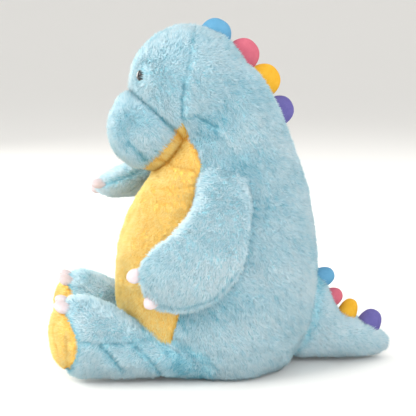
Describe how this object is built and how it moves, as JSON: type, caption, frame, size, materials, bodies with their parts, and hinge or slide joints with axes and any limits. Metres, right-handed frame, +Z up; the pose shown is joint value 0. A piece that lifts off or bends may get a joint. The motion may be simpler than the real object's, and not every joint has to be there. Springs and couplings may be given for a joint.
{
  "type": "stuffed dinosaur",
  "caption": "Seated long-pile plush dinosaur with a pale belly, rounded felt spikes down its back, and limbs and a tail that flex at their sewn seams.",
  "frame": {"origin": "bottom centre of the whole toy, on the flat seat that it sits on", "axes": "+Z up, the toy faces -Y, its own left side is +X"},
  "size_m": [0.3094, 0.406, 0.403],
  "materials": {
    "blue_plush": "soft long pile",
    "yellow_plush": "short soft pile",
    "claw_velour": "smooth short velour",
    "felt_blue": "smooth brushed felt",
    "felt_pink": "smooth brushed felt",
    "felt_yellow": "smooth brushed felt",
    "felt_purple": "smooth brushed felt",
    "stuffing": "loose polyester fibre",
    "eye_plastic": "polished black",
    "washer_plastic": "moulded"
  },
  "bodies": {
    "left_arm": {"arm_fill_left": "stuffing", "arm_inner_cloth_left": "blue_plush", "arm_outer_cloth_left": "blue_plush", "hand_claw_1_left": "claw_velour", "hand_claw_2_left": "claw_velour"},
    "right_arm": {"arm_fill_right": "stuffing", "arm_lower_cloth_right": "blue_plush", "arm_upper_cloth_right": "blue_plush", "hand_claw_1_right": "claw_velour", "hand_claw_2_right": "claw_velour"},
    "torso": {"belly_cloth": "yellow_plush", "chin_cloth": "yellow_plush", "eye_left": "eye_plastic", "eye_right": "eye_plastic", "eye_washer_left": "washer_plastic", "eye_washer_right": "washer_plastic", "head_fill": "stuffing", "head_side_left": "blue_plush", "head_side_right": "blue_plush", "muzzle_cloth": "blue_plush", "muzzle_fill": "stuffing", "seat_cloth": "blue_plush", "spike_01_blue": "felt_blue", "spike_02_pink": "felt_pink", "spike_03_yellow": "felt_yellow", "spike_04_purple": "felt_purple", "spike_fills_head": "stuffing", "spike_fills_torso": "stuffing", "torso_fill": "stuffing", "torso_side_left": "blue_plush", "torso_side_right": "blue_plush"},
    "left_leg": {"foot_claw_1_left": "claw_velour", "foot_claw_2_left": "claw_velour", "leg_fill_left": "stuffing", "leg_inner_cloth_left": "blue_plush", "leg_outer_cloth_left": "blue_plush", "sole_left": "yellow_plush"},
    "right_leg": {"foot_claw_1_right": "claw_velour", "foot_claw_2_right": "claw_velour", "leg_fill_right": "stuffing", "leg_inner_cloth_right": "blue_plush", "leg_outer_cloth_right": "blue_plush", "sole_right": "yellow_plush"},
    "tail": {"spike_05_blue": "felt_blue", "spike_06_pink": "felt_pink", "spike_07_yellow": "felt_yellow", "spike_08_purple": "felt_purple", "spike_fills_tail": "stuffing", "tail_fill": "stuffing", "tail_side_left": "blue_plush", "tail_side_right": "blue_plush"}
  },
  "joints": [
    {"name": "left_shoulder", "type": "hinge", "parent": "torso", "child": "left_arm", "pos_m": [0.099, 0, 0.226], "axis": [0, -1, 0], "range_deg": [0, 60], "stiffness_Nm_per_rad": 0.12},
    {"name": "right_shoulder", "type": "hinge", "parent": "torso", "child": "right_arm", "pos_m": [-0.099, 0.005, 0.218], "axis": [0, 0, -1], "range_deg": [0, 45], "stiffness_Nm_per_rad": 0.12},
    {"name": "left_hip", "type": "hinge", "parent": "torso", "child": "left_leg", "pos_m": [0.07, -0.05, 0.0285], "axis": [0, 0, 1], "range_deg": [0, 20], "stiffness_Nm_per_rad": 0.3},
    {"name": "right_hip", "type": "hinge", "parent": "torso", "child": "right_leg", "pos_m": [-0.07, -0.05, 0.0285], "axis": [0, 0, -1], "range_deg": [0, 20], "stiffness_Nm_per_rad": 0.3},
    {"name": "tail_wag", "type": "hinge", "parent": "torso", "child": "tail", "pos_m": [0, 0.093, 0.05], "axis": [0, 0, 1], "range_deg": [-12, 12], "stiffness_Nm_per_rad": 0.3}
  ]
}
